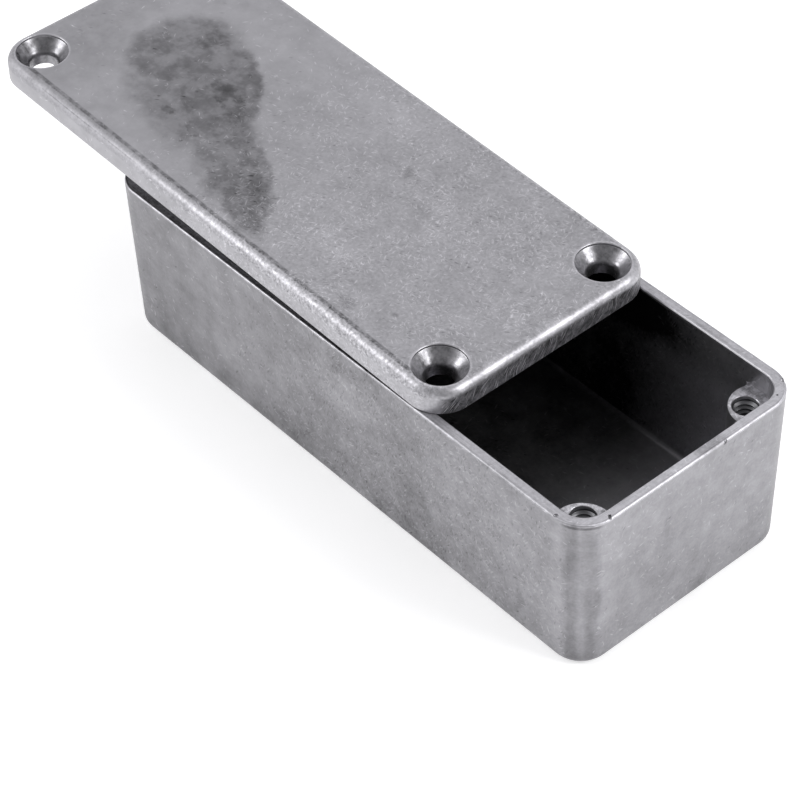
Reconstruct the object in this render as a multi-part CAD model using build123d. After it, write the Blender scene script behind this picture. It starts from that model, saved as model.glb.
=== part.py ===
from build123d import *
from math import atan, cos, degrees, radians, sin, sqrt, tan
import os

# A two-piece die cast aluminium box: a drafted, open-topped body with a screw post in each
# corner, and a flat lid with countersunk corner holes and a locating lip. The lid is unscrewed,
# slid back and lies on the body. Millimetres and degrees, +Z up. The origin is the centre of the
# body's underside, X runs along the length and +X is the end that the lid leaves open.

# Outline shared by the body's rim and the lid
RIM_LENGTH = 93.9
RIM_WIDTH = 38.5
CORNER_RADIUS = 5.0

# Body
BODY_HEIGHT = 26.2
RIM_WALL = 1.6
FLOOR_THICKNESS = 2.2
OUTSIDE_DRAFT = 1.3
CAVITY_DRAFT = 1.3
BASE_EDGE_RADIUS = 1.5
FLOOR_FILLET = 1.0
RIM_OUTER_RADIUS = 0.3
RIM_INNER_CHAMFER = 0.15

# Screw posts in the body's corners
SCREW_INSET = 5.0
POST_RADIUS = 4.1
POST_SHIFT = 1.3
POST_DROP = 3.4
POST_DRAFT = 1.0
POST_FILLET = 0.6
THREAD_DIAMETER = 3.5
THREAD_DEPTH = 12.0
DRILL_POINT_ANGLE = 118.0
MOUTH_CHAMFER = 0.1

# Lid
LID_EDGE_HEIGHT = 3.8
LID_PLATE_THICKNESS = 2.3
LID_TOP_RADIUS = 1.5
LID_RECESS_FILLET = 0.6
LIP_HEIGHT = 2.45
LIP_THICKNESS = 1.3
LIP_CLEARANCE = 0.3
LIP_RELIEF = 4.5
LIP_LEAD_IN = 0.3
SCREW_CLEARANCE = 0.25
SINK_DIAMETER = 7.4
SINK_STEP = 0.35
SINK_ANGLE = 90.0
SINK_THROAT_RADIUS = 1.2
SINK_RIM_RADIUS = 0.2

# How the loose lid lies
LID_SLIDE = 26.3
LID_YAW = 0.2
LID_SEAT_GAP = 0.01

# Trimmed stretch of the front wall's inner edge, where the casting's gate was broken off
TRIM_WIDTH = 0.2
TRIM_DEPTH = 0.5
TRIM_START = -13.9
TRIM_END = 8.4

# Handling damage on the body's rim: a chip and a pit in the front right corner, a nick in the
# front wall, and a notch and a groove at the two ends of the front left corner
CHIP_RADIUS = 0.45
CHIP_ANGLE = 62.0
CHIP_INSET = 0.2
PIT_RADIUS = 0.16
PIT_ANGLE = 24.0
PIT_INSET = 1.0
NICK_RADIUS = 0.3
NICK_OFFSET = 5.4
NOTCH_RADIUS = 0.3
NOTCH_INSET = 0.4
GROOVE_RADIUS = 0.2
GROOVE_LENGTH = 0.8
GROOVE_ANGLE = -36.0
GROOVE_INSET = 0.4

# A small overlap that lets a cutting solid pass fully through a face
OVERCUT = 1.0

half_length = RIM_LENGTH / 2
half_width = RIM_WIDTH / 2
screw_x = half_length - SCREW_INSET
screw_y = half_width - SCREW_INSET
post_top = BODY_HEIGHT - POST_DROP
corners = [(1, 1), (-1, 1), (-1, -1), (1, -1)]


def plate(length, width, radius, level, height, draft=0.0):
    """A rounded rectangular block that starts at a level and grows by a signed height."""
    outline = RectangleRounded(length, width, radius)
    sketch = Plane.XY.offset(level) * outline
    return extrude(sketch, amount=abs(height), dir=(0, 0, 1 if height > 0 else -1), taper=draft)


def post_block(side_x, side_y):
    """The drafted round column that fills one corner of the cavity up to the post's top."""
    shift = SCREW_INSET - POST_SHIFT
    spread = post_top * tan(radians(POST_DRAFT))
    column = Cone(
        POST_RADIUS + spread, POST_RADIUS, post_top, align=(Align.CENTER, Align.CENTER, Align.MIN)
    )
    return Pos(side_x * (half_length - shift), side_y * (half_width - shift), 0) * column


def cavity():
    """The space inside the body, with the posts left out of it and its lower edges rounded."""
    depth = BODY_HEIGHT - FLOOR_THICKNESS
    core = plate(
        RIM_LENGTH - 2 * RIM_WALL,
        RIM_WIDTH - 2 * RIM_WALL,
        CORNER_RADIUS - RIM_WALL,
        BODY_HEIGHT,
        -depth,
        CAVITY_DRAFT,
    )
    for side_x, side_y in corners:
        core -= post_block(side_x, side_y)
    post_seams = [
        edge
        for edge in core.edges()
        if edge.bounding_box().size.Z > 0.5 * (post_top - FLOOR_THICKNESS)
        and edge.bounding_box().max.Z < post_top + POST_FILLET
    ]
    core = fillet(post_seams, POST_FILLET)
    floor_edges = core.faces().sort_by(Axis.Z)[0].edges()
    return fillet(floor_edges, FLOOR_FILLET)


def tapped_hole():
    """The tapped hole of a post, its mouth at the origin: bore, drill point and chamfer."""
    radius = THREAD_DIAMETER / 2
    tip = radius / tan(radians(DRILL_POINT_ANGLE / 2))
    profile = Polyline(
        (0, 0),
        (radius + MOUTH_CHAMFER, 0),
        (radius, -MOUTH_CHAMFER),
        (radius, -THREAD_DEPTH),
        (0, -THREAD_DEPTH - tip),
        close=True,
    )
    return revolve(Plane.XZ * make_face(profile), Axis.Z)


def corner_point(angle, inset):
    """A point on the rim in the front right corner, at an angle and in from the outer face."""
    turn = radians(angle)
    reach = CORNER_RADIUS - inset
    corner_x = half_length - CORNER_RADIUS + reach * cos(turn)
    corner_y = half_width - CORNER_RADIUS + reach * sin(turn)
    return Pos(corner_x, corner_y, BODY_HEIGHT)


def rim_damage():
    """The dents in the rim, as the solids that cut them."""
    chip = corner_point(CHIP_ANGLE, CHIP_INSET) * Sphere(CHIP_RADIUS)
    pit = corner_point(PIT_ANGLE, PIT_INSET) * Sphere(PIT_RADIUS)
    nick = Pos(half_length, NICK_OFFSET, BODY_HEIGHT) * Sphere(NICK_RADIUS)
    bend_x = half_length - CORNER_RADIUS
    bend_y = half_width - CORNER_RADIUS
    notch = Pos(bend_x, NOTCH_INSET - half_width, BODY_HEIGHT) * Sphere(NOTCH_RADIUS)
    along = Rot(0, 0, GROOVE_ANGLE) * Rot(0, 90, 0) * Cylinder(GROOVE_RADIUS, GROOVE_LENGTH)
    groove = Pos(half_length - GROOVE_INSET, -bend_y, BODY_HEIGHT) * along
    return [chip, pit, nick, notch, groove]


def gate_trim():
    """The narrow block that is cut from the front wall's inner edge."""
    block = Box(
        OVERCUT + TRIM_WIDTH,
        TRIM_END - TRIM_START,
        TRIM_DEPTH + OVERCUT,
        align=(Align.MAX, Align.MIN, Align.MIN),
    )
    return Pos(half_length - RIM_WALL + TRIM_WIDTH, TRIM_START, BODY_HEIGHT - TRIM_DEPTH) * block


def make_body():
    """The cast body: drafted shell, corner posts with tapped holes, and its worn rim."""
    body = plate(RIM_LENGTH, RIM_WIDTH, CORNER_RADIUS, BODY_HEIGHT, -BODY_HEIGHT, OUTSIDE_DRAFT)
    body = fillet(body.faces().sort_by(Axis.Z)[0].edges(), BASE_EDGE_RADIUS)
    body = fillet(body.faces().sort_by(Axis.Z)[-1].edges(), RIM_OUTER_RADIUS)
    body -= cavity()
    rim = body.faces().filter_by(Axis.Z).sort_by(Axis.Z)[-1]
    body = chamfer(rim.inner_wires()[0].edges(), RIM_INNER_CHAMFER)
    for side_x, side_y in corners:
        body -= Pos(side_x * screw_x, side_y * screw_y, post_top) * tapped_hole()
    body -= gate_trim()
    for dent in rim_damage():
        body -= dent
    return body


def screw_hole():
    """One lid hole, its mouth at the origin: rounded rim, short step, cone, throat and bore."""
    bore = THREAD_DIAMETER / 2 + SCREW_CLEARANCE
    mouth = SINK_DIAMETER / 2
    slope = radians(SINK_ANGLE / 2)
    throat_depth = SINK_STEP + (mouth - bore) / tan(slope)
    outline = Polyline(
        (0, OVERCUT),
        (mouth + OVERCUT, OVERCUT),
        (mouth + OVERCUT, 0),
        (mouth, 0),
        (mouth, -SINK_STEP),
        (bore, -throat_depth),
        (bore, -LID_EDGE_HEIGHT - OVERCUT),
        (0, -LID_EDGE_HEIGHT - OVERCUT),
        close=True,
    )
    face = make_face(outline)
    mouth_corner = face.vertices().sort_by_distance((mouth, 0, 0))[0]
    face = fillet(mouth_corner, SINK_RIM_RADIUS)
    throat_corner = face.vertices().sort_by_distance((bore, -throat_depth, 0))[0]
    face = fillet(throat_corner, SINK_THROAT_RADIUS)
    return revolve(Plane.XZ * face, Axis.Z)


def make_lip():
    """The locating lip under the lid, cut back round each screw hole, with a lead-in edge."""
    inset = RIM_WALL + LIP_CLEARANCE
    length = RIM_LENGTH - 2 * inset
    width = RIM_WIDTH - 2 * inset
    radius = CORNER_RADIUS - inset
    ring = plate(length, width, radius, 0, -LIP_HEIGHT)
    ring = chamfer(ring.faces().sort_by(Axis.Z)[0].edges(), LIP_LEAD_IN)
    opening = Rectangle(length - 2 * LIP_THICKNESS, width - 2 * LIP_THICKNESS)
    ring -= extrude(opening, amount=LIP_HEIGHT, dir=(0, 0, -1))
    relief = Cylinder(LIP_RELIEF, LIP_HEIGHT, align=(Align.CENTER, Align.CENTER, Align.MAX))
    for side_x, side_y in corners:
        ring -= Pos(side_x * screw_x, side_y * screw_y, 0) * relief
    return ring


def lid_recess():
    """The hollow in the lid's underside, inside the lip and clear of the screw holes."""
    inset = RIM_WALL + LIP_CLEARANCE + LIP_THICKNESS
    depth = LID_EDGE_HEIGHT - LID_PLATE_THICKNESS
    hollow = extrude(Rectangle(RIM_LENGTH - 2 * inset, RIM_WIDTH - 2 * inset), amount=depth)
    pad = Cylinder(LIP_RELIEF, depth, align=(Align.CENTER, Align.CENTER, Align.MIN))
    for side_x, side_y in corners:
        hollow -= Pos(side_x * screw_x, side_y * screw_y, 0) * pad
    return fillet(hollow.faces().sort_by(Axis.Z)[-1].edges(), LID_RECESS_FILLET)


def make_lid():
    """The cast lid, as it lies when closed, with its underside at the origin's level."""
    lid = plate(RIM_LENGTH, RIM_WIDTH, CORNER_RADIUS, 0, LID_EDGE_HEIGHT)
    lid = fillet(lid.faces().sort_by(Axis.Z)[-1].edges(), LID_TOP_RADIUS)
    lid -= lid_recess()
    lid += make_lip()
    for side_x, side_y in corners:
        lid -= Pos(side_x * screw_x, side_y * screw_y, LID_EDGE_HEIGHT) * screw_hole()
    return lid


def rear_contact():
    """The x at which the bottom of the lip's long sides meets the rim's rear inner corners."""
    lip_y = half_width - RIM_WALL - LIP_CLEARANCE - LIP_LEAD_IN
    into_corner = max(0.0, lip_y - (half_width - CORNER_RADIUS))
    inner_radius = CORNER_RADIUS - RIM_WALL + RIM_INNER_CHAMFER
    return -half_length + CORNER_RADIUS - sqrt(inner_radius**2 - into_corner**2)


def lid_place():
    """Where the loose lid lies: front edge on the rim, lip on the rim's rear inner corners."""
    pitch = 0.0
    for _ in range(8):
        on_lip = (rear_contact() + LID_SLIDE + LIP_HEIGHT * sin(pitch)) / cos(pitch)
        pitch = atan(LIP_HEIGHT / (half_length - on_lip))
    height = BODY_HEIGHT + half_length * sin(pitch) + LID_SEAT_GAP
    return Pos(-LID_SLIDE, 0, height) * Rot(0, 0, LID_YAW) * Rot(0, degrees(pitch), 0)


parts = {
    "box": make_body(),
    "lid": lid_place() * make_lid(),
}

os.makedirs("parts", exist_ok=True)
for name, solid in parts.items():
    export_step(solid, f"parts/{name}.step")
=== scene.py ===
import logging
import math
from dataclasses import dataclass, field
from enum import Enum

import bmesh
import bpy
from mathutils import Matrix, Vector


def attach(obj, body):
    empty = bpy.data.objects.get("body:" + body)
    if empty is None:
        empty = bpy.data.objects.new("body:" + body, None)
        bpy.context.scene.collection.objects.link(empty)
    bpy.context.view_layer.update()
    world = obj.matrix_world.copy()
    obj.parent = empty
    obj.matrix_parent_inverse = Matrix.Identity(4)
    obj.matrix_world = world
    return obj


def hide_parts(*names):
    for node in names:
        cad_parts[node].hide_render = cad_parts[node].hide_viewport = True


LOG = logging.getLogger("die_cast_box")
MM = 0.001
# Sizes that both castings and the threads share, in millimetres.
BODY_HEIGHT = 26.2
POST_TOP = 22.8
POST_ALONG, POST_ACROSS = 41.95, 14.25
# Points nearer than this are one point, and edges shorter than the other are dropped, in metres.
MERGE_DISTANCE = 1e-7
SHORTEST_EDGE = 1e-8
# A noise texture mostly stays between these two levels.
NOISE_LOW, NOISE_HIGH = 0.25, 0.75
# How the lines of scratches bend and how the outlines of marks waver, as noise per millimetre.
SCRATCH_BEND = {"Scale": 0.3, "Detail": 0.0}
MARK_WAVER = {"Scale": 0.28, "Detail": 4.0, "Roughness": 0.65}
Socket = bpy.types.NodeSocket


def linear(code: str) -> tuple[float, float, float, float]:
    """Turns an sRGB hex colour into linear light.

    Args:
        code: The colour as six hex digits after a hash.

    Returns:
        Red, green, blue and an alpha of one.
    """
    levels = [int(code[place:place + 2], 16) / 255 for place in (1, 3, 5)]
    light = [v / 12.92 if v <= 0.04045 else ((v + 0.055) / 1.055) ** 2.4 for v in levels]
    return (light[0], light[1], light[2], 1.0)


def add_node(tree: bpy.types.NodeTree, kind: str, inputs: dict | None = None, **settings) -> bpy.types.Node:
    """Adds a node, sets its options, and links or fills its inputs.

    Args:
        tree: The tree that takes the node.
        kind: The node's Blender type name.
        inputs: Values or output sockets by input name or number.
        settings: Options of the node by name.

    Returns:
        The new node.
    """
    node = tree.nodes.new(kind)
    for name, value in settings.items():
        setattr(node, name, value)
    for key, value in (inputs or {}).items():
        if isinstance(value, Socket):
            tree.links.new(value, node.inputs[key])
        else:
            node.inputs[key].default_value = value
    return node


def empty_material(name: str) -> bpy.types.Material:
    """Makes a material whose node tree is still empty."""
    material = bpy.data.materials.new(name)
    material.use_nodes = True
    material.node_tree.nodes.clear()
    return material


def place_object(name: str, data: bpy.types.ID) -> bpy.types.Object:
    """Makes an object of a mesh, lamp or camera and puts it into the scene."""
    piece = bpy.data.objects.new(name, data)
    bpy.context.scene.collection.objects.link(piece)
    return piece


def shade_smooth(work: bmesh.types.BMesh, sharp_angle: float) -> None:
    """Shades all faces smooth and keeps the steeper edges sharp.

    Args:
        work: The mesh.
        sharp_angle: The angle in degrees from which an edge stays sharp.
    """
    for face in work.faces:
        face.smooth = True
    for edge in work.edges:
        edge.smooth = edge.calc_face_angle(math.pi) < math.radians(sharp_angle)


class Side(Enum):
    """The sides of a casting that carry marks of their own.

    Each has its direction, and how far a normal has to point that way for marks to begin and to be full.
    """

    TOP = ((0, 0, 1), 0.55, 0.80)
    UNDERSIDE = ((0, 0, -1), 0.55, 0.80)
    LEFT_WALL = ((0, -1, 0), 0.72, 0.86)
    FRONT_WALL = ((1, 0, 0), 0.72, 0.86)
    NEAR_CORNER = ((0.707, -0.707, 0), 0.82, 0.95)


@dataclass(frozen=True)
class Fade:
    """How a measure turns smoothly into a share: from low, where it begins, to high, where it ends.

    The measure is a place or distance in millimetres, or the level of clouds from -1 to 1.
    """

    begin: float
    end: float
    low: float = 0.0
    high: float = 1.0


@dataclass(frozen=True)
class Mark:
    """A soft-edged oval mark on one side, in millimetres in that side's own plane.

    The plane is X and Y on top, X and Z on a long wall, and Y and Z on an end wall. The first two
    numbers are its middle there, and the turn is in degrees.
    """

    first: float
    second: float
    half_length: float
    half_width: float
    turn: float
    strength: float
    softness: float = 0.35


@dataclass(frozen=True)
class Spot:
    """A small round place in space, such as the painted shade in a dent in an edge, in millimetres."""

    along: float
    across: float
    up: float
    radius: float


@dataclass(frozen=True)
class Clouds:
    """Uneven patches of the cast skin, by their usual size in millimetres.

    The strength is the share at the brightest and darkest places, the detail is how many finer
    layers they hold, and the seed moves them, so that two layers differ.
    """

    size: float
    strength: float
    detail: float
    seed: float


@dataclass(frozen=True)
class Scratches:
    """Short rubbed lines that a tumbling barrel leaves, in one main direction.

    A line reaches from its core to between the least reach and that with the spread, as parts of
    its length and width.
    """

    turn: float
    length: float
    width: float
    share: float
    strength: float
    seed: float
    core: float = 0.05
    least_reach: float = 0.15
    reach_spread: float = 0.25


@dataclass
class CastSkin:
    """The pattern of a tumbled die casting, in millimetres in the casting's own frame.

    Every pattern gives a share by which the metal is lighter (above zero) or darker.
    """

    tree: bpy.types.NodeTree
    origin: Vector
    turn: tuple[float, float, float]
    even_face: Fade = Fade(0.86, 0.95)
    steep: float = 0.7
    bend: float = 0.75
    darkest: float = 0.04
    place: Socket = field(init=False)
    along: Socket = field(init=False)
    across: Socket = field(init=False)
    up: Socket = field(init=False)
    even: Socket = field(init=False)
    flat: Socket = field(init=False)
    bent: Socket = field(init=False)
    facing: dict[Side, Socket] = field(init=False, default_factory=dict)
    relief: list[Socket] = field(init=False, default_factory=list)
    shares: list[Socket] = field(init=False, default_factory=list)

    def __post_init__(self) -> None:
        """Lays out the coordinates and sides that every pattern reads."""
        tree = self.tree
        coordinates = add_node(tree, "ShaderNodeTexCoord")
        self.place = add_node(
            tree, "ShaderNodeMapping",
            {"Vector": coordinates.outputs["Object"], "Location": self.origin,
             "Rotation": self.turn, "Scale": (MM, MM, MM)},
            vector_type="TEXTURE",
        ).outputs[0]
        self.along, self.across, self.up = add_node(tree, "ShaderNodeSeparateXYZ", {0: self.place}).outputs
        normal = add_node(tree, "ShaderNodeNewGeometry").outputs["Normal"]
        ways = add_node(tree, "ShaderNodeSeparateXYZ", {0: normal}).outputs
        lengthwise, sideways, upright = (
            add_node(tree, "ShaderNodeMath", {0: way}, operation="ABSOLUTE").outputs[0] for way in ways
        )
        self.even = self.ramp(self.largest(lengthwise, sideways, upright), self.even_face)
        first = self.either(lengthwise, self.steep, self.along, self.across)
        second = self.either(upright, self.steep, self.up, self.across)
        self.flat = add_node(tree, "ShaderNodeCombineXYZ", {0: first, 1: second}).outputs[0]
        self.bent = self.strayed(self.bend, SCRATCH_BEND)
        for side in Side:
            way, begin, full = side.value
            toward = add_node(tree, "ShaderNodeVectorMath", {0: normal, 1: way}, operation="DOT_PRODUCT")
            self.facing[side] = self.ramp(toward.outputs["Value"], Fade(begin, full))

    def add(self, *shares: Socket) -> None:
        """Keeps the shares of patterns for the total."""
        self.shares.extend(shares)

    def total(self, shares: list[Socket]) -> Socket:
        """One and all the shares, and never quite black."""
        return self.largest(self.plus(1.0, *shares), self.darkest)

    def joined(self, operation: str, values: tuple[Socket | float, ...]) -> Socket:
        """Joins several values by one operation, from the first to the last."""
        held = values[0]
        for value in values[1:]:
            held = add_node(self.tree, "ShaderNodeMath", {0: held, 1: value}, operation=operation).outputs[0]
        return held

    def plus(self, *values: Socket | float) -> Socket:
        """Adds shares up."""
        return self.joined("ADD", values)

    def product(self, *values: Socket | float) -> Socket:
        """Multiplies shares and masks."""
        return self.joined("MULTIPLY", values)

    def largest(self, *values: Socket | float) -> Socket:
        """Keeps the largest of several shares."""
        return self.joined("MAXIMUM", values)

    def ramp(self, value: Socket, fade: Fade) -> Socket:
        """Turns a measure smoothly into a share, which stays between the fade's low and high."""
        return add_node(
            self.tree, "ShaderNodeMapRange",
            {0: value, 1: fade.begin, 2: fade.end, 3: fade.low, 4: fade.high},
            interpolation_type="SMOOTHSTEP",
        ).outputs[0]

    def band(self, value: Socket, middle: float, fade: Fade) -> Socket:
        """A band on both sides of one value, such as a line along an edge.

        Args:
            value: What is measured.
            middle: The value in the band's middle.
            fade: How the distance from the middle turns into the band's share.

        Returns:
            The band's share.
        """
        off = add_node(self.tree, "ShaderNodeMath", {0: value, 1: middle}, operation="SUBTRACT")
        near = add_node(self.tree, "ShaderNodeMath", {0: off.outputs[0]}, operation="ABSOLUTE")
        return self.ramp(near.outputs[0], fade)

    def either(self, value: Socket, limit: float, below: Socket, above: Socket) -> Socket:
        """Chooses between two measures.

        Args:
            value: What the choice goes by.
            limit: Where the choice changes.
            below: The result up to the limit.
            above: The result past it.

        Returns:
            The chosen measure.
        """
        past = add_node(self.tree, "ShaderNodeMath", {0: value, 1: limit}, operation="GREATER_THAN")
        return add_node(
            self.tree, "ShaderNodeMix", {0: past.outputs[0], 2: below, 3: above}, data_type="FLOAT",
        ).outputs[0]

    def strayed(self, distance: float, kind: dict[str, float]) -> Socket:
        """The side's flat coordinates, moved about by clouds.

        Args:
            distance: How far they stray at most, in millimetres.
            kind: The clouds' settings.

        Returns:
            The moved coordinates.
        """
        cloud = add_node(self.tree, "ShaderNodeTexNoise", {"Vector": self.place, **kind})
        swing = add_node(
            self.tree, "ShaderNodeVectorMath", {0: cloud.outputs["Color"], 1: (0.5, 0.5, 0.5)},
            operation="SUBTRACT",
        )
        return add_node(
            self.tree, "ShaderNodeVectorMath",
            {0: swing.outputs[0], 1: (2 * distance, 2 * distance, 0), 2: self.flat}, operation="MULTIPLY_ADD",
        ).outputs[0]

    def quarter(self) -> Socket:
        """The level coordinates of one quarter, which the other three mirror."""
        tree = self.tree
        level = add_node(tree, "ShaderNodeVectorMath", {0: self.place, 1: (1, 1, 0)}, operation="MULTIPLY")
        return add_node(tree, "ShaderNodeVectorMath", {0: level.outputs[0]}, operation="ABSOLUTE").outputs[0]

    def inward(self, half_length: float, half_width: float, corner: float, slope: float) -> Socket:
        """How far a place lies inward from the casting's outer face, up to the corner radius.

        Args:
            half_length: Half the length at the underside, in millimetres.
            half_width: Half the width at the underside, in millimetres.
            corner: The radius of the upright corners.
            slope: How much the outer face leans out per millimetre of height.

        Returns:
            The distance in millimetres.
        """
        tree = self.tree
        out = self.product(self.up, slope)
        grown = add_node(tree, "ShaderNodeCombineXYZ", {0: out, 1: out}).outputs[0]
        centre = (half_length - corner, half_width - corner, 0)
        core = add_node(tree, "ShaderNodeVectorMath", {0: self.quarter(), 1: centre}, operation="SUBTRACT")
        beyond = add_node(tree, "ShaderNodeVectorMath", {0: core.outputs[0], 1: grown}, operation="SUBTRACT")
        kept = add_node(
            tree, "ShaderNodeVectorMath", {0: beyond.outputs[0], 1: (0, 0, 0)}, operation="MAXIMUM",
        )
        reach = add_node(tree, "ShaderNodeVectorMath", {0: kept.outputs[0]}, operation="LENGTH")
        return add_node(
            tree, "ShaderNodeMath", {0: corner, 1: reach.outputs["Value"]}, operation="SUBTRACT",
        ).outputs[0]

    def from_holes(self, along: float, across: float) -> Socket:
        """How far a place lies from the axis of the nearest corner hole.

        Args:
            along: The holes' distance from the middle along the length, in millimetres.
            across: Their distance from the middle across the width.

        Returns:
            The distance in millimetres.
        """
        return add_node(
            self.tree, "ShaderNodeVectorMath", {0: self.quarter(), 1: (along, across, 0)},
            operation="DISTANCE",
        ).outputs["Value"]

    def clouds(self, kind: Clouds) -> Socket:
        """Patches whose share goes both ways."""
        moved = add_node(
            self.tree, "ShaderNodeVectorMath", {0: self.place, 1: (kind.seed, -kind.seed, 2 * kind.seed)},
            operation="ADD",
        )
        noise = add_node(
            self.tree, "ShaderNodeTexNoise",
            {"Vector": moved.outputs[0], "Scale": 1 / kind.size, "Detail": kind.detail, "Roughness": 0.6},
        )
        return add_node(
            self.tree, "ShaderNodeMapRange",
            {0: noise.outputs[0], 1: NOISE_LOW, 2: NOISE_HIGH, 3: -kind.strength, 4: kind.strength},
        ).outputs[0]

    def drawn(self, often: tuple[float, float, float], detail: float) -> Socket:
        """Clouds that are drawn out, by how often they change per millimetre in each direction."""
        tree = self.tree
        stretched = add_node(tree, "ShaderNodeVectorMath", {0: self.place, 1: often}, operation="MULTIPLY")
        return add_node(
            tree, "ShaderNodeTexNoise", {"Vector": stretched.outputs[0], "Scale": 1.0, "Detail": detail},
        ).outputs[0]

    def scratches(self, kind: Scratches, cover: Socket) -> Socket:
        """Short light scratches or, with a negative strength, dark ones.

        Args:
            kind: Their direction, size, number and strength.
            cover: Where they lie thick, from 0 to 1.

        Returns:
            The scratches' share.
        """
        tree = self.tree
        turned = add_node(
            tree, "ShaderNodeMapping",
            {"Vector": self.bent, "Location": (kind.seed, -kind.seed, 0),
             "Rotation": (0, 0, math.radians(kind.turn)), "Scale": (kind.length, kind.width, 1)},
            vector_type="TEXTURE",
        )
        cells = add_node(
            tree, "ShaderNodeTexVoronoi", {"Vector": turned.outputs[0], "Scale": 1.0, "Randomness": 1.0},
            voronoi_dimensions="2D",
        )
        parts = add_node(tree, "ShaderNodeSeparateColor", {0: cells.outputs["Color"]})
        chance, spread, strength = parts.outputs
        reach = add_node(
            tree, "ShaderNodeMath", {0: spread, 1: kind.reach_spread, 2: kind.least_reach},
            operation="MULTIPLY_ADD",
        )
        line = add_node(
            tree, "ShaderNodeMapRange", {0: cells.outputs["Distance"], 1: reach.outputs[0], 2: kind.core},
            interpolation_type="SMOOTHSTEP",
        )
        likely = self.product(cover, kind.share)
        chosen = add_node(tree, "ShaderNodeMath", {0: chance, 1: likely}, operation="LESS_THAN")
        return self.product(line.outputs[0], chosen.outputs[0], self.product(strength, kind.strength))

    def marks(self, side: Side, marks: tuple[Mark, ...], waver: float) -> Socket:
        """Marks of one side, of which the strongest shows where they overlap.

        Args:
            side: The side that carries them.
            marks: The marks, all darker or all lighter.
            waver: How far their edges stray, in millimetres.

        Returns:
            Their share.
        """
        moved = self.strayed(waver, MARK_WAVER)
        shown = []
        for mark in marks:
            turned = add_node(
                self.tree, "ShaderNodeMapping",
                {"Vector": moved, "Location": (mark.first, mark.second, 0),
                 "Rotation": (0, 0, math.radians(mark.turn)),
                 "Scale": (mark.half_length, mark.half_width, 1)},
                vector_type="TEXTURE",
            )
            out = add_node(self.tree, "ShaderNodeVectorMath", {0: turned.outputs[0]}, operation="LENGTH")
            outline = Fade(1 + mark.softness, 1 - mark.softness, 0.0, abs(mark.strength))
            shown.append(self.ramp(out.outputs["Value"], outline))
        sign = math.copysign(1.0, marks[0].strength)
        return self.product(self.largest(0.0, *shown), sign, self.facing[side])

    def spots(self, spots: tuple[Spot, ...], strength: float) -> Socket:
        """Small round places with the same share in their middles.

        Args:
            spots: Each spot's place and radius.
            strength: The share in a spot's middle.

        Returns:
            The spots' share.
        """
        shown = []
        for spot in spots:
            out = add_node(
                self.tree, "ShaderNodeVectorMath", {0: self.place, 1: (spot.along, spot.across, spot.up)},
                operation="DISTANCE",
            )
            limits = {0: out.outputs["Value"], 1: spot.radius, 2: spot.radius / 2}
            shown.append(add_node(self.tree, "ShaderNodeMapRange", limits).outputs[0])
        return self.product(self.largest(0.0, *shown), strength)


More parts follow.
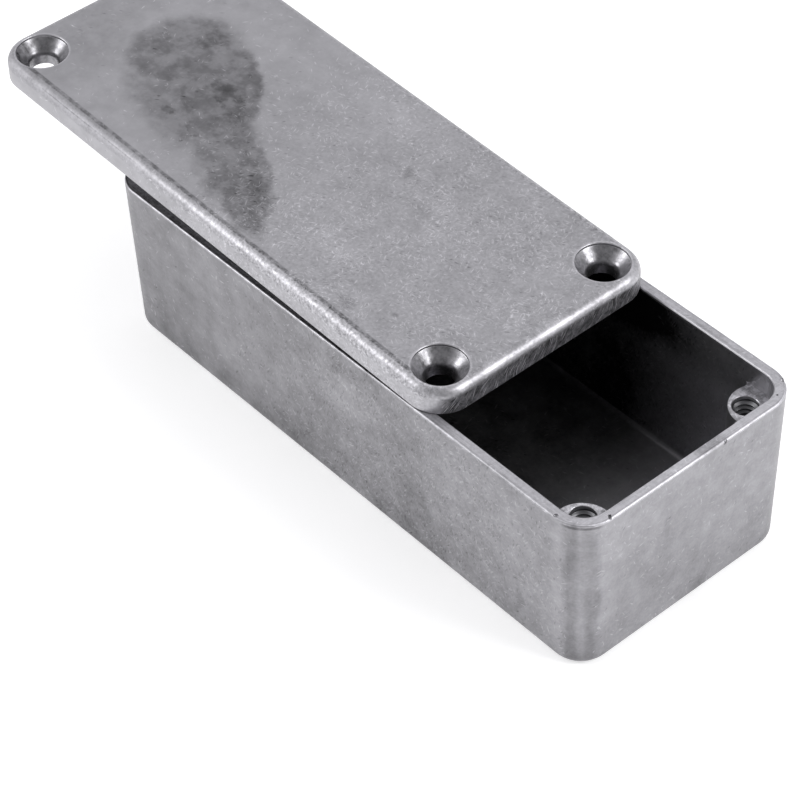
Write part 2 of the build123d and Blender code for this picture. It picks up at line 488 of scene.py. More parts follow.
@dataclass(frozen=True)
class TumbledCasting:
    """Die cast aluminium as it comes out of the tumbling barrel, neither painted nor plated.

    The cast skin is a satin grey metal that reflects softly. The barrel's stones leave short
    light scratches in all directions, and the skin keeps patches that are a little lighter
    and darker. The thin oxide on it scatters a small share of the light, which lifts the shade.
    The real scratches are finer than a pixel, so they are drawn as coarse as they need to show.
    """

    name: str
    metal: str
    roughness: float = 0.40
    roughness_swing: float = 0.05
    filed_rise: float = 0.25
    metallic: float = 0.9
    cloudy: float = 0.08
    grain: float = 0.13
    relief: float = 0.45
    relief_height: float = 0.00004
    thickness: float = 1.0
    worn_from: float = -22.0
    worn_to: float = 18.0
    least_worn: float = 0.08
    scratch_sets: tuple[Scratches, ...] = (
        Scratches(18, 1.7, 0.36, 0.62, 0.44, 3.1),
        Scratches(64, 1.4, 0.34, 0.60, 0.42, 7.7),
        Scratches(112, 1.8, 0.36, 0.60, 0.44, 12.9),
        Scratches(155, 1.5, 0.34, 0.60, 0.44, 21.3),
        Scratches(40, 1.3, 0.44, 0.55, -0.34, 33.8),
    )

    def skin(self, tree: bpy.types.NodeTree, origin: Vector, turn: tuple[float, float, float]) -> CastSkin:
        """Starts the pattern with what every tumbled casting shows.

        Args:
            tree: The material's tree.
            origin: The casting's own origin in the shared frame, in metres.
            turn: The casting's turn in the shared frame.

        Returns:
            The pattern, to which marks of the piece can be added.
        """
        skin = CastSkin(tree, origin, turn)
        skin.add(skin.clouds(Clouds(13.0, self.cloudy, 2.0, 1.0)))
        skin.add(skin.clouds(Clouds(2.6, 1.2 * self.cloudy, 3.0, 5.0)))
        worn = skin.ramp(skin.along, Fade(self.worn_from, self.worn_to, self.least_worn, 1.0))
        speckle = skin.product(skin.clouds(Clouds(0.4, self.grain, 1.0, 9.0)), worn)
        skin.add(speckle)
        skin.relief.append(speckle)
        thin_to_thick = Fade(-0.7, 0.7, 0.25 * self.thickness, 1.4 * self.thickness)
        patchy = skin.ramp(skin.clouds(Clouds(6.0, 1.0, 1.0, 17.0)), thin_to_thick)
        cover = skin.product(patchy, worn, skin.even)
        for kind in self.scratch_sets:
            lines = skin.scratches(kind, cover)
            skin.add(lines)
            skin.relief.append(lines)
        return skin

    def finish(self, material: bpy.types.Material, skin: CastSkin, filed: Socket) -> None:
        """Joins the pattern to the metal's shader.

        Args:
            material: The material, whose tree holds the pattern.
            skin: The finished pattern.
            filed: Where the metal was filed and so is rougher, from 0 to 1.
        """
        tree = material.node_tree
        total = skin.total(skin.shares)
        colour = add_node(
            tree, "ShaderNodeMix",
            {0: 1.0, 6: linear(self.metal), 7: total}, data_type="RGBA", blend_type="MULTIPLY",
        )
        rubbed = add_node(
            tree, "ShaderNodeMapRange",
            {0: total, 1: 0.5, 2: 1.5, 3: self.roughness + self.roughness_swing,
             4: self.roughness - self.roughness_swing},
        )
        rough = add_node(
            tree, "ShaderNodeMath", {0: filed, 1: self.filed_rise, 2: rubbed.outputs[0]},
            operation="MULTIPLY_ADD",
        )
        relief = add_node(
            tree, "ShaderNodeBump",
            {"Height": skin.total(skin.relief), "Strength": self.relief, "Distance": self.relief_height},
        )
        shader = add_node(
            tree, "ShaderNodeBsdfPrincipled",
            {"Base Color": colour.outputs[2], "Roughness": rough.outputs[0], "Normal": relief.outputs[0],
             "Metallic": self.metallic},
        )
        add_node(tree, "ShaderNodeOutputMaterial", {"Surface": shader.outputs[0]})


# In the photograph the body is cloudier than the lid, and its walls have far fewer scratches.
BODY_FINISH = TumbledCasting(
    "tumbled_die_cast_body", "#A5A4A8", cloudy=0.10, grain=0.06, relief=0.1, thickness=0.16, least_worn=0.7,
)
LID_FINISH = TumbledCasting("tumbled_die_cast_lid", "#ACABAF")


@dataclass(frozen=True)
class CutThread:
    """Aluminium freshly cut by a tap, which leaves bright ridges with fine lines along them; its colour is
    painted darker, as the shade deep inside the holes.
    """

    name: str = "tapped_aluminium"
    # Painted shade: darker than fresh cut aluminium, for the ridges deep in the holes.
    metal: str = "#7E7E81"
    line_spacing: float = 0.12
    lines_round: float = 600.0
    shades: tuple[float, float] = (0.75, 1.1)
    roughnesses: tuple[float, float] = (0.50, 0.38)

    def material(self) -> bpy.types.Material:
        """Makes the material of the thread ridges.

        Returns:
            The material, whose lines lie round the holes' axes.
        """
        material = empty_material(self.name)
        tree = material.node_tree
        place = add_node(tree, "ShaderNodeTexCoord").outputs["Object"]
        often = (self.lines_round, self.lines_round, 1 / (self.line_spacing * MM))
        drawn = add_node(tree, "ShaderNodeVectorMath", {0: place, 1: often}, operation="MULTIPLY")
        lines = add_node(
            tree, "ShaderNodeTexNoise", {"Vector": drawn.outputs[0], "Scale": 1.0, "Detail": 1.0},
        ).outputs[0]
        share, rough = (
            add_node(tree, "ShaderNodeMapRange", {0: lines, 1: 0.3, 2: 0.7, 3: low, 4: high}).outputs[0]
            for low, high in (self.shades, self.roughnesses)
        )
        colour = add_node(
            tree, "ShaderNodeMix",
            {0: 1.0, 6: linear(self.metal), 7: share}, data_type="RGBA", blend_type="MULTIPLY",
        )
        shader = add_node(
            tree, "ShaderNodeBsdfPrincipled",
            {"Base Color": colour.outputs[2], "Roughness": rough, "Metallic": 1.0},
        )
        add_node(tree, "ShaderNodeOutputMaterial", {"Surface": shader.outputs[0]})
        return material


@dataclass
class Casting:
    """What both castings share: a merged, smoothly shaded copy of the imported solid."""

    node: str
    half_length: float = 46.95
    half_width: float = 19.25
    corner: float = 5.0
    sharp_angle: float = 40.0

    def copy(self) -> bpy.types.Object:
        """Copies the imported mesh, merges its loose triangles and marks its sharp edges.

        Returns:
            The new object, at the origin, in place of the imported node.
        """
        mesh = bpy.data.meshes.new(f"{self.node}_casting")
        work = bmesh.new()
        work.from_mesh(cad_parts[self.node].data)
        bmesh.ops.remove_doubles(work, verts=work.verts, dist=MERGE_DISTANCE)
        bmesh.ops.dissolve_degenerate(work, edges=work.edges, dist=SHORTEST_EDGE)
        shade_smooth(work, self.sharp_angle)
        work.to_mesh(mesh)
        work.free()
        for kept in ("custom_normal", "UVMap"):
            if kept in mesh.attributes:
                mesh.attributes.remove(mesh.attributes[kept])
        piece = place_object(f"{self.node}_casting", mesh)
        weighted = piece.modifiers.new("even_shading", "WEIGHTED_NORMAL")
        weighted.mode = "FACE_AREA"
        weighted.keep_sharp = True
        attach(piece, "root")
        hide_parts(self.node)
        LOG.info("%s: %d faces", piece.name, len(mesh.polygons))
        return piece


@dataclass
class BoxBody(Casting):
    """The cast body, with its sanded rim, handling marks, and painted light and shade on its walls, rim and
    inside.
    """

    node: str = "box"
    height: float = BODY_HEIGHT
    draft: float = 1.3
    lines_turn: float = 44.0
    dark_line: float = 0.32
    smudges_and_shade: tuple[Mark, ...] = (
        # The first, widest mark is painted shade that darkens the left wall towards its far end; the rest are
        # smudge marks.
        Mark(-12.0, 12.0, 62.0, 80.0, 0, -0.31, 0.9),
        Mark(15.0, 6.5, 5.0, 9.5, 8, -0.40, 0.45),
        Mark(-9.0, 4.0, 9.0, 4.6, 0, -0.35, 0.6),
        Mark(-24.0, 4.0, 3.8, 4.4, 0, -0.34, 0.6),
        Mark(-44.0, 3.5, 2.0, 2.5, 0, -0.38, 0.6),
        Mark(-30.0, 14.0, 7.0, 2.0, 25, -0.34, 0.8),
        Mark(35.0, 5.5, 0.9, 4.2, -8, -0.34, 0.6),
        Mark(28.0, 5.0, 6.0, 3.0, 0, -0.22, 0.8),
        Mark(1.8, 23.0, 3.2, 3.0, 0, -0.38, 0.6),
        Mark(19.5, 24.5, 3.0, 1.3, 0, -0.30, 0.6),
    )
    light_places: tuple[Mark, ...] = (
        Mark(3.0, 18.5, 7.0, 3.0, 10, 0.12, 0.7),
        Mark(-8.0, 15.5, 6.0, 2.6, 40, 0.07, 0.8),
        Mark(30.0, 18.0, 9.0, 6.0, 0, 0.06, 0.8),
        Mark(42.4, 13.0, 1.1, 13.0, 0, 0.09, 0.6),
        Mark(-26.0, 9.0, 8.0, 3.0, 35, 0.06, 0.8),
    )
    rubbed_place: Mark = Mark(12.0, 12.0, 27.0, 17.0, 0, 1.0, 0.5)
    rubs: tuple[Scratches, ...] = (
        Scratches(52, 1.8, 0.42, 0.80, 0.26, 41.0),
        Scratches(118, 1.4, 0.40, 0.70, 0.22, 44.0),
        Scratches(70, 1.6, 0.44, 0.80, -0.26, 47.0),
    )
    front_smudges: tuple[Mark, ...] = (
        Mark(12.0, 5.0, 29.0, 17.0, 0, -0.17, 0.8),
        Mark(-1.7, 18.7, 1.5, 1.0, 20, -0.16, 0.7),
        Mark(14.6, 19.4, 0.8, 1.6, 0, -0.16, 0.7),
        Mark(-15.6, 12.4, 0.5, 1.7, 0, -0.22, 0.7),
    )
    rim_smudges: tuple[Mark, ...] = (
        Mark(46.2, 3.3, 1.6, 2.3, 0, -0.40, 0.4),
        Mark(45.6, -11.0, 0.5, 1.6, 0, -0.18, 0.6),
        Mark(8.0, -18.4, 4.0, 0.7, 0, -0.14, 0.6),
        Mark(33.0, 18.2, 5.0, 0.25, 0, -0.24, 0.5),
    )
    # Dark spots at the dents and notches of the rim: painted shade in these small hollows.
    painted_shade: tuple[Spot, ...] = (
        Spot(44.25, 18.55, 26.1, 0.42),
        Spot(45.63, 15.94, 26.2, 0.18),
        Spot(46.97, 5.25, 25.9, 0.35),
        Spot(41.93, -18.84, 26.2, 0.22),
        Spot(46.45, -14.16, 26.0, 0.30),
    )

    def build(self, finish: TumbledCasting) -> bpy.types.Object:
        """Copies and dresses the body.

        Args:
            finish: The casting's finish.

        Returns:
            The body.
        """
        piece = self.copy()
        material = empty_material(finish.name)
        skin = finish.skin(material.node_tree, Vector((0, 0, 0)), (0, 0, 0))
        slope = math.tan(math.radians(self.draft))
        lean = self.height * slope
        inward = skin.inward(self.half_length - lean, self.half_width - lean, self.corner, slope)
        skin.add(skin.marks(Side.LEFT_WALL, self.smudges_and_shade, waver=3.0))
        skin.add(skin.marks(Side.LEFT_WALL, self.light_places, waver=3.0))
        rubbed = skin.marks(Side.LEFT_WALL, (self.rubbed_place,), waver=4.0)
        skin.add(skin.product(rubbed, skin.clouds(Clouds(0.8, 0.08, 2.0, 29.0))))
        for kind in self.rubs:
            skin.add(skin.scratches(kind, skin.product(rubbed, skin.even)))
        skin.add(skin.marks(Side.FRONT_WALL, self.front_smudges, waver=1.0))
        skin.add(skin.marks(Side.TOP, self.rim_smudges, waver=0.3))
        skin.add(skin.spots(self.painted_shade, strength=-0.58))
        skin.add(self.inside(skin, inward), self.post_tops(skin), self.rim(skin, inward))
        skin.add(self.rim_edge_highlight(skin, inward), self.foot_shade(skin), self.near_corner(skin))
        sanded = skin.ramp(skin.up, Fade(self.height - 0.35, self.height - 0.2, 0.0, 0.3))
        finish.finish(material, skin, sanded)
        piece.data.materials.append(material)
        return piece

    def inside(self, skin: CastSkin, inward: Socket) -> Socket:
        """The inside is painted with light and shade: darker under the lid, and lighter towards the open end,
        where light falls in.

        Near the rim it is painted darker all along, as shade under the rim.

        Args:
            skin: The body's pattern.
            inward: The distance inward from the outer face.

        Returns:
            The inside's share.
        """
        within = skin.ramp(inward, Fade(1.15, 1.25))
        above_foot = skin.ramp(skin.up, Fade(0.9, 1.0))
        below_rim = skin.ramp(skin.up, Fade(self.height - 0.25, self.height - 0.7))
        # Painted light and shade: lighter towards the open end, darker under the lid.
        shade = skin.ramp(skin.along, Fade(34.0, 15.0, 0.45, -0.54))
        # Painted shade near the rim, all along.
        upper_shade = skin.ramp(skin.up, Fade(17.0, 22.0, 0.0, -0.62))
        shaded = skin.product(within, above_foot, below_rim, shade)
        return skin.plus(shaded, skin.product(within, below_rim, upper_shade))

    def post_tops(self, skin: CastSkin) -> Socket:
        """The posts' tops, rubbed unevenly and painted lighter where they face up into the light, which takes
        back the inside's painted shade, with a bright burr that the drill left round each hole.
        """
        level = skin.band(skin.up, POST_TOP, Fade(0.12, 0.04))
        # Painted light on the tops, in uneven clouds.
        rubbed = skin.ramp(skin.clouds(Clouds(0.7, 1.0, 2.0, 71.0)), Fade(-0.6, 0.6, -0.06, 0.80))
        burr = skin.ramp(skin.from_holes(POST_ALONG, POST_ACROSS), Fade(2.5, 2.0, 0.0, 0.34))
        return skin.product(level, skin.facing[Side.TOP], skin.plus(rubbed, burr))

    def rim(self, skin: CastSkin, inward: Socket) -> Socket:
        """Fine lines and speckle along the rim, sanded flat, and a darker line before its rounded outer edge.

        The left part that the lid covers is painted darker, as the shadow under the lid, and the open end is
        rubbed lighter.

        Args:
            skin: The body's pattern.
            inward: The distance inward from the outer face.

        Returns:
            The rim's share.
        """
        out = add_node(skin.tree, "ShaderNodeMath", {0: skin.along}, operation="ABSOLUTE").outputs[0]
        lengthwise = skin.drawn((0.16, 4.5, 1.0), detail=2.0)
        crosswise = skin.drawn((4.5, 0.16, 1.0), detail=2.0)
        line = skin.either(out, self.lines_turn, lengthwise, crosswise)
        lines = skin.ramp(line, Fade(NOISE_LOW, NOISE_HIGH, 0.26, 0.50))
        speckle = skin.clouds(Clouds(0.5, 0.20, 2.0, 77.0))
        darkening = skin.band(inward, self.dark_line, Fade(0.15, 0.04, 0.0, -0.22))
        left = skin.ramp(skin.across, Fade(5.0 - self.half_width, 4.0 - self.half_width))
        # Painted shadow under the lid on the left part of the rim.
        painted_shade = skin.product(left, skin.ramp(skin.along, Fade(19.0, 14.0, 0.0, -0.85)))
        open_end = skin.ramp(skin.along, Fade(44.4, 45.4, 0.0, 0.16))
        high = add_node(
            skin.tree, "ShaderNodeMath", {0: skin.up, 1: self.height - 0.05}, operation="GREATER_THAN",
        )
        return skin.product(skin.plus(lines, speckle, darkening, painted_shade, open_end), high.outputs[0])

    def rim_edge_highlight(self, skin: CastSkin, inward: Socket) -> Socket:
        """The rim's rounded outer edge, speckled, with a painted highlight all along it, stronger at the open
        end and far on the left.

        Args:
            skin: The body's pattern.
            inward: The distance inward from the outer face.

        Returns:
            The edge's share.
        """
        outer = skin.ramp(inward, Fade(0.30, 0.22))
        high = skin.ramp(skin.up, Fade(self.height - 0.35, self.height - 0.25))
        left = skin.ramp(skin.across, Fade(0.5 - self.half_width, 0.2 - self.half_width))
        # Painted highlight on the edge far on the left.
        far = skin.product(left, skin.ramp(skin.along, Fade(30.0, 0.0, 0.0, 0.15)))
        speckled = skin.clouds(Clouds(0.9, 0.24, 1.0, 83.0))
        # Painted highlight along the whole edge, strongest at the open end.
        open_end = skin.ramp(skin.along, Fade(45.6, 46.4, 0.18, 0.46))
        return skin.product(outer, high, skin.plus(far, speckled, open_end))

    def foot_shade(self, skin: CastSkin) -> Socket:
        """The walls are painted darker towards the bottom, as shade near the floor, in soft upright clouds.
        """
        strength = skin.ramp(skin.drawn((0.16, 0.16, 0.05), detail=2.0), Fade(0.3, 0.7, -0.04, -0.24))
        return skin.product(strength, skin.ramp(skin.up, Fade(9.0, 0.0)))

    def near_corner(self, skin: CastSkin) -> Socket:
        """The near corner is darker, in upright streaks, with a painted shadow line under the rim."""
        darkening = skin.ramp(skin.drawn((0.6, 0.6, 0.12), detail=1.0), Fade(0.3, 0.7, -0.25, -0.12))
        # Painted shadow: a dark line just under the rim's edge.
        line = skin.band(skin.up, self.height - 0.5, Fade(0.34, 0.10, 0.0, -0.36))
        return skin.product(skin.plus(darkening, line), skin.facing[Side.NEAR_CORNER])


@dataclass
class BoxLid(Casting):
    """The loose cast lid, with the smoky stain on its far half."""

    node: str = "lid"
    slide: float = 26.3
    pitch: float = 2.169
    yaw: float = 0.2
    seat_gap: float = 0.01
    edge_radius: float = 1.5
    screw_inset: float = 5.0
    ring_radius: float = 3.86
    stain: tuple[Mark, ...] = (
        Mark(-28.4, 0.6, 7.8, 8.3, -20, -0.44, 0.20),
        Mark(-18.4, -0.9, 11.4, 5.7, -38, -0.44, 0.10),
        Mark(-20.0, -7.6, 12.0, 4.7, -13, -0.36, 0.45),
        Mark(-8.8, -8.2, 6.4, 5.0, -30, -0.40, 0.35),
        Mark(-1.6, -10.3, 10.8, 3.7, -33, -0.43, 0.16),
        Mark(-28.0, 5.2, 2.0, 3.4, -10, -0.56, 0.40),
        Mark(-33.2, 1.4, 2.2, 5.2, -12, -0.49, 0.50),
        Mark(-15.6, -1.7, 6.8, 2.1, -22, -0.60, 0.40),
        Mark(-3.2, -11.9, 4.6, 3.0, -12, -0.42, 0.40),
        Mark(-6.0, -6.6, 3.0, 1.8, -30, -0.52, 0.50),
        Mark(0.4, -10.4, 5.4, 1.8, -36, -0.51, 0.50),
        Mark(4.6, -14.0, 3.0, 1.2, -20, -0.48, 0.50),
        Mark(-20.0, -8.9, 1.4, 1.0, 0, -0.54, 0.40),
        Mark(-14.2, -9.0, 1.8, 0.9, -10, -0.54, 0.40),
        Mark(-26.2, -5.0, 2.0, 1.4, 20, -0.50, 0.50),
        Mark(-40.0, -6.0, 6.5, 8.0, 0, -0.14, 0.60),
    )
    light_places: tuple[Mark, ...] = (
        Mark(2.0, 13.5, 4.0, 2.0, 0, 0.10, 0.8),
        Mark(-12.5, 10.5, 2.0, 3.0, -20, 0.08, 0.8),
        Mark(16.0, -10.0, 5.0, 2.5, 0, 0.06, 0.8),
    )
    freckles: tuple[Mark, ...] = (
        Mark(25.5, -15.6, 1.4, 0.8, 0, -0.20, 0.7),
        Mark(31.2, -12.6, 0.5, 0.4, 0, -0.30, 0.7),
        Mark(12.0, 7.0, 1.2, 0.5, -60, -0.16, 0.7),
        Mark(19.0, 3.4, 2.6, 1.2, 0, -0.13, 0.8),
    )
    file_lines: tuple[Scratches, ...] = (
        Scratches(64, 3.8, 0.22, 0.9, 2.8, 51.0),
        Scratches(52, 2.6, 0.20, 0.7, -0.9, 55.0),
    )
    above_side: Fade = Fade(2.1, 2.5)

    def build(self, finish: TumbledCasting) -> bpy.types.Object:
        """Copies and dresses the lid.

        Args:
            finish: The casting's finish.

        Returns:
            The lid.
        """
        piece = self.copy()
        material = empty_material(finish.name)
        pitch = math.radians(self.pitch)
        height = BODY_HEIGHT + self.half_length * math.sin(pitch) + self.seat_gap
        origin = Vector((-self.slide, 0, height)) * MM
        skin = finish.skin(material.node_tree, origin, (0, pitch, math.radians(self.yaw)))
        inward = skin.inward(self.half_length, self.half_width, self.corner, 0.0)
        from_screw = skin.from_holes(self.half_length - self.screw_inset, self.half_width - self.screw_inset)
        smoke = skin.ramp(skin.clouds(Clouds(2.2, 1.0, 3.0, 57.0)), Fade(-0.5, 0.5, 0.76, 1.18))
        skin.add(skin.product(skin.marks(Side.TOP, self.stain, waver=1.7), smoke))
        skin.add(skin.marks(Side.TOP, self.freckles, waver=0.6))
        skin.add(skin.marks(Side.TOP, self.light_places, waver=2.0))
        skin.add(self.sink_rings(skin, from_screw))

        beside_flat = skin.ramp(inward, Fade(self.edge_radius + 0.2, self.edge_radius - 0.2))
        edge = skin.product(beside_flat, skin.ramp(skin.up, self.above_side))
        skin.add(self.edge_grain(skin, edge), self.left_edge(skin, inward))

        end_height = skin.ramp(skin.up, Fade(2.75, 2.35))
        end_depth = skin.ramp(inward, Fade(1.0, 0.5))
        front = skin.product(skin.facing[Side.FRONT_WALL], end_height, end_depth)
        # Painted dark reflection: the front end face is darkened, standing in for the dark cavity below that
        # it reflects.
        skin.add(skin.product(front, -0.40))
        skin.add(skin.product(front, skin.clouds(Clouds(1.1, 0.30, 1.0, 91.0))))
        for kind in self.file_lines:
            skin.add(skin.scratches(kind, front))

        # Painted shade: the underside is darker.
        skin.add(skin.product(skin.facing[Side.UNDERSIDE], -0.45))
        sinks = skin.ramp(from_screw, Fade(self.ring_radius - 0.1, self.ring_radius - 0.25))
        skin.add(skin.product(sinks, skin.clouds(Clouds(0.8, 0.24, 2.0, 39.0))))
        # Painted shade in the countersinks, which also dims their highlights.
        skin.add(skin.product(sinks, -0.36))
        skin.add(self.worn_end(skin, edge))

        left = skin.product(edge, skin.ramp(skin.across, Fade(-17.2, -18.0)))
        far_left = skin.product(left, skin.ramp(skin.along, Fade(-5.0, -30.0, 0.35, 0.7)))
        filed = skin.plus(far_left, skin.product(front, 0.5), skin.product(sinks, -0.55))
        finish.finish(material, skin, filed)
        piece.data.materials.append(material)
        return piece

    def edge_grain(self, skin: CastSkin, edge: Socket) -> Socket:
        """The rounded edge's grain, stronger towards the open end and calmer at its very end."""
        stronger = skin.ramp(skin.along, Fade(-20.0, 20.0, 0.14, 0.42))
        calmer = skin.ramp(skin.along, Fade(44.2, 45.4, 1.0, 0.35))
        return skin.product(edge, stronger, calmer, skin.clouds(Clouds(0.38, 1.0, 2.0, 63.0)))

    def worn_end(self, skin: CastSkin, edge: Socket) -> Socket:
        """The rounding at the open end, worn lighter in places."""
        at_end = skin.ramp(skin.along, Fade(44.8, 45.6))
        worn = skin.ramp(skin.clouds(Clouds(3.2, 1.0, 3.0, 73.0)), Fade(-0.5, 0.5, -0.10, 0.22))
        return skin.product(edge, at_end, worn)

    def left_edge(self, skin: CastSkin, inward: Socket) -> Socket:
        """The left edge: a darker line where the flat ends, and a painted highlight along the rounding,
        bright near the open end and a little darker away from it.

        Args:
            skin: The lid's pattern.
            inward: The distance inward from the outer face.

        Returns:
            The edge's share.
        """
        line = skin.band(inward, self.edge_radius, Fade(0.42, 0.18, 0.0, -0.42))
        # Painted highlight along the middle of the rounding, brighter towards the open end.
        rounding = skin.band(inward, self.edge_radius / 2, Fade(0.60, 0.30, 0.0, 0.16))
        broken = skin.ramp(skin.clouds(Clouds(1.6, 1.0, 3.0, 67.0)), Fade(-0.5, 0.5, 0.45, 1.25))
        rubbed = skin.ramp(skin.along, Fade(-18.0, 8.0, -0.4, 1.0))
        both = skin.plus(skin.product(line, broken), skin.product(rounding, rubbed))
        left = skin.ramp(skin.across, Fade(-15.5, -16.5))
        return skin.product(both, left, skin.ramp(skin.up, self.above_side))

    def sink_rings(self, skin: CastSkin, from_screw: Socket) -> Socket:
        """The countersinks' mouths, each with a lighter ring: rubbed metal, with a painted highlight on the
        mouth's rim.
        """
        ring = skin.band(from_screw, self.ring_radius, Fade(0.24, 0.06, 0.0, 0.22))
        return skin.product(ring, skin.ramp(skin.up, Fade(3.3, 3.5)))


@dataclass
class TappedThreads:
    """The thread ridges in the four post holes, cut by a machine tap."""

    pitch: float = 0.794
    crest_radius: float = 1.38
    root_radius: float = 1.80
    mouth_radius: float = 1.78
    half_root: float = 0.46
    half_crest: float = 0.06
    lead_in: float = 0.8
    top: float = POST_TOP
    below_top: float = 0.04
    turns: int = 15
    steps_per_turn: int = 28
    sharp_angle: float = 35.0
    centres: tuple[tuple[str, float, float], ...] = (
        ("front_left", POST_ALONG, -POST_ACROSS),
        ("front_right", POST_ALONG, POST_ACROSS),
        ("rear_left", -POST_ALONG, -POST_ACROSS),
        ("rear_right", -POST_ALONG, POST_ACROSS),
    )

    def build(self, material: bpy.types.Material) -> None:
        """Winds one ridge down each hole.

        Args:
            material: The freshly cut metal.
        """
        for name, along, across in self.centres:
            mesh = bpy.data.meshes.new(f"{name}_thread")
            work = self.wind(along, across)
            work.to_mesh(mesh)
            work.free()
            piece = place_object(f"{name}_thread", mesh)
            piece.data.materials.append(material)
            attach(piece, "root")
            LOG.info("%s: %d faces", piece.name, len(mesh.polygons))

    def wind(self, along: float, across: float) -> bmesh.types.BMesh:
        """Winds the ridge of one hole, widens its mouth and cuts it off under the post's top.

        Args:
            along: The hole's place along the box, in millimetres.
            across: Its place across the box.

        Returns:
            The closed ridge.
        """
        work = bmesh.new()
        start = self.top + self.pitch
        half, flat = self.half_root * self.pitch, self.half_crest * self.pitch
        rim = (
            (self.root_radius, half), (self.crest_radius, flat), (self.crest_radius, -flat),
            (self.root_radius, -half),
        )
        verts = [work.verts.new(((along + r) * MM, across * MM, (start + z) * MM)) for r, z in rim]
        profile = work.faces.new(verts)
        steps = self.turns * self.steps_per_turn
        bmesh.ops.spin(
            work, geom=[profile, *profile.edges, *profile.verts], cent=(along * MM, across * MM, start * MM),
            axis=(0, 0, 1), dvec=(0, 0, -self.pitch * self.turns / steps * MM),
            angle=2 * math.pi * self.turns, steps=steps, use_merge=False,
        )
        self.open_mouth(work, Vector((along * MM, across * MM, 0)))
        cut = bmesh.ops.bisect_plane(
            work, geom=[*work.verts, *work.edges, *work.faces],
            plane_co=(0, 0, (self.top - self.below_top) * MM), plane_no=(0, 0, 1), clear_outer=True,
        )
        open_edges = [item for item in cut["geom_cut"] if isinstance(item, bmesh.types.BMEdge)]
        bmesh.ops.contextual_create(work, geom=open_edges)
        bmesh.ops.remove_doubles(work, verts=work.verts, dist=MERGE_DISTANCE)
        bmesh.ops.recalc_face_normals(work, faces=work.faces)
        shade_smooth(work, self.sharp_angle)
        return work

    def open_mouth(self, work: bmesh.types.BMesh, centre: Vector) -> None:
        """Widens the ridge towards the hole's mouth, as the tap's lead-in leaves it.

        Args:
            work: The wound ridge.
            centre: A point on the hole's axis.
        """
        for vert in work.verts:
            depth = self.top - vert.co.z / MM
            rise = min(max(1 - depth / self.lead_in, 0.0), 1.0)
            least = (self.crest_radius + (self.mouth_radius - self.crest_radius) * rise) * MM
            out = Vector((vert.co.x - centre.x, vert.co.y - centre.y))
            if out.length < least:
                out = out.normalized() * least
                vert.co.x = centre.x + out.x
                vert.co.y = centre.y + out.y


@dataclass(frozen=True)
class SoftBox:
    """A softbox lamp, by the direction that its light comes from."""

    name: str
    azimuth: float
    elevation: float
    distance: float
    width: float
    height: float
    radiance: float


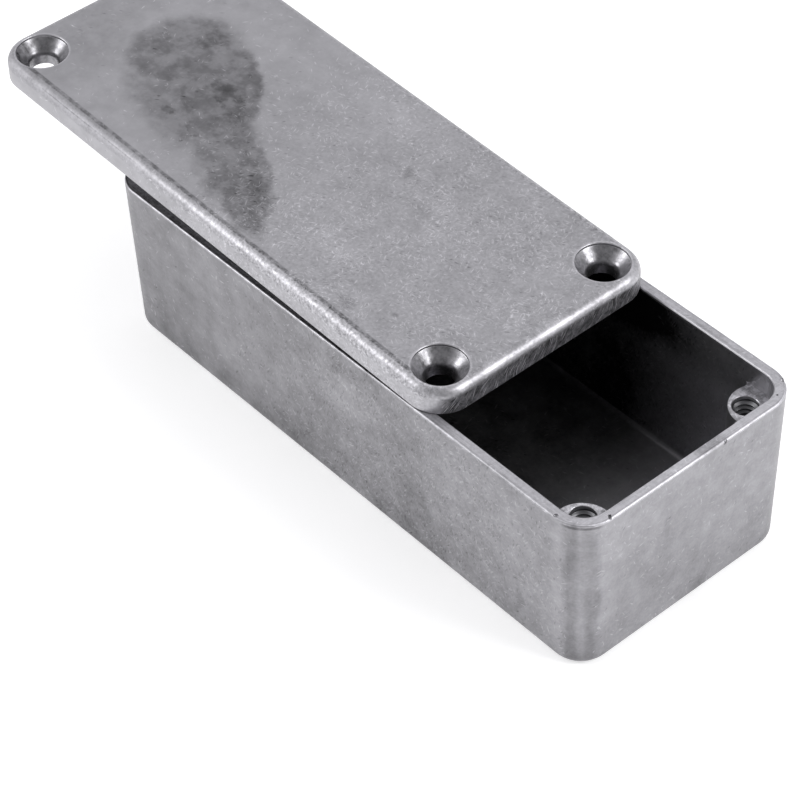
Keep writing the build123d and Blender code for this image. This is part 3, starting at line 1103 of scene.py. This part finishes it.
@dataclass
class Studio:
    """A pale floor, two softboxes and an even sky that is darker on the camera's side of the room."""

    sky: str = "#F8F8FA"
    sky_strength: float = 0.86
    dark_strength: float = 0.36
    dark_way: tuple[float, float, float] = (0.554, -0.459, 0.694)
    dark_within: float = 22.0
    bright_beyond: float = 60.0
    floor: str = "#F7F7F7"
    floor_glow: float = 0.46
    floor_size: float = 3.0
    floor_height: float = -0.0001
    paper_grain: float = 400.0
    lamps: tuple[SoftBox, ...] = (
        SoftBox("right_softbox", 28.0, 38.0, 0.9, 0.34, 0.44, 6.0),
        SoftBox("left_softbox", -136.0, 28.0, 0.9, 0.32, 0.40, 5.2),
    )

    def build(self) -> None:
        """Sets up the sky, the floor and the lamps."""
        scene = bpy.context.scene
        scene.view_settings.view_transform = "Standard"
        world = bpy.data.worlds.new("studio_sky")
        world.use_nodes = True
        world.node_tree.nodes.clear()
        tree = world.node_tree
        way = add_node(tree, "ShaderNodeTexCoord").outputs["Generated"]
        toward = add_node(tree, "ShaderNodeVectorMath", {0: way, 1: self.dark_way}, operation="DOT_PRODUCT")
        shade = add_node(
            tree, "ShaderNodeMapRange",
            {0: toward.outputs["Value"], 1: math.cos(math.radians(self.bright_beyond)),
             2: math.cos(math.radians(self.dark_within)), 3: self.sky_strength, 4: self.dark_strength},
            interpolation_type="SMOOTHSTEP",
        )
        glow = add_node(
            tree, "ShaderNodeBackground", {"Color": linear(self.sky), "Strength": shade.outputs[0]},
        )
        add_node(tree, "ShaderNodeOutputWorld", {"Surface": glow.outputs[0]})
        scene.world = world
        self.lay_floor()
        for lamp in self.lamps:
            self.hang(lamp)

    def lay_floor(self) -> None:
        """Lays the staged floor of matt white paper just under the box."""
        mesh = bpy.data.meshes.new("floor")
        work = bmesh.new()
        bmesh.ops.create_grid(work, x_segments=1, y_segments=1, size=self.floor_size / 2)
        bmesh.ops.translate(work, verts=work.verts, vec=(0, 0, self.floor_height))
        work.to_mesh(mesh)
        work.free()
        floor = place_object("floor", mesh)
        paper = empty_material("white_paper")
        tree = paper.node_tree
        place = add_node(tree, "ShaderNodeTexCoord").outputs["Object"]
        grain = add_node(tree, "ShaderNodeTexNoise", {"Vector": place, "Scale": self.paper_grain})
        rough = add_node(tree, "ShaderNodeMapRange", {0: grain.outputs[0], 3: 0.85, 4: 0.95})
        shader = add_node(
            tree, "ShaderNodeBsdfPrincipled",
            {"Base Color": linear(self.floor), "Roughness": rough.outputs[0], "Specular IOR Level": 0.1,
             "Emission Color": linear(self.floor), "Emission Strength": self.floor_glow},
        )
        add_node(tree, "ShaderNodeOutputMaterial", {"Surface": shader.outputs[0]})
        floor.data.materials.append(paper)

    def hang(self, lamp: SoftBox) -> None:
        """Hangs one softbox so that it faces the box.

        Args:
            lamp: The softbox.
        """
        light = bpy.data.lights.new(lamp.name, "AREA")
        light.shape = "RECTANGLE"
        light.size = lamp.width
        light.size_y = lamp.height
        light.energy = lamp.radiance * math.pi * lamp.width * lamp.height
        azimuth, elevation = math.radians(lamp.azimuth), math.radians(lamp.elevation)
        level = math.cos(elevation)
        way = Vector((math.cos(azimuth) * level, math.sin(azimuth) * level, math.sin(elevation)))
        holder = place_object(lamp.name, light)
        holder.location = way * lamp.distance
        holder.rotation_euler = way.to_track_quat("Z", "Y").to_euler()


@dataclass
class PhotoCamera:
    """The camera at the photograph's viewing angle, as it was fitted to the straight edges.

    The turn is an axis times its angle in radians, and the offset is in millimetres. Both are in
    the fit's own camera frame, whose Z axis looks ahead and whose Y axis points down.
    """

    focal_pixels: float = 2858.14
    frame_pixels: int = 800
    sensor_width: float = 36.0
    nearest: float = 0.01
    farthest: float = 20.0
    turn: tuple[float, float, float] = (2.1757588, 0.9708030, -0.4496592)
    offset: tuple[float, float, float] = (6.12752, 2.56303, 395.07582)

    def build(self) -> None:
        """Places the camera and makes it the scene's own."""
        camera = bpy.data.cameras.new("photo_camera")
        camera.sensor_width = self.sensor_width
        camera.lens = self.focal_pixels / self.frame_pixels * self.sensor_width
        camera.clip_start = self.nearest
        camera.clip_end = self.farthest
        axis = Vector(self.turn)
        seen = Matrix.Rotation(axis.length, 3, axis.normalized())
        held = Matrix((seen[0], -seen[1], -seen[2])).transposed().to_4x4()
        held.translation = -(seen.transposed() @ Vector(self.offset)) * MM
        holder = place_object("photo_camera", camera)
        holder.matrix_world = held
        bpy.context.scene.camera = holder


def main() -> None:
    """Builds the studio and every piece in order."""
    logging.basicConfig(level=logging.INFO, format="%(message)s")
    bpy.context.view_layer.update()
    PhotoCamera().build()
    Studio().build()
    BoxBody().build(BODY_FINISH)
    BoxLid().build(LID_FINISH)
    TappedThreads().build(CutThread().material())


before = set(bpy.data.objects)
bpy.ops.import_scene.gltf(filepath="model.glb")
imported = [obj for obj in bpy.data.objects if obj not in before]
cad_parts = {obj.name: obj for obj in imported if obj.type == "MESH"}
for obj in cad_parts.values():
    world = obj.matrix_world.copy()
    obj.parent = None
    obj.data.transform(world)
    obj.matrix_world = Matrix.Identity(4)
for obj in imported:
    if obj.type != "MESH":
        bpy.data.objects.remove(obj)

if __name__ == "__main__":
    main()
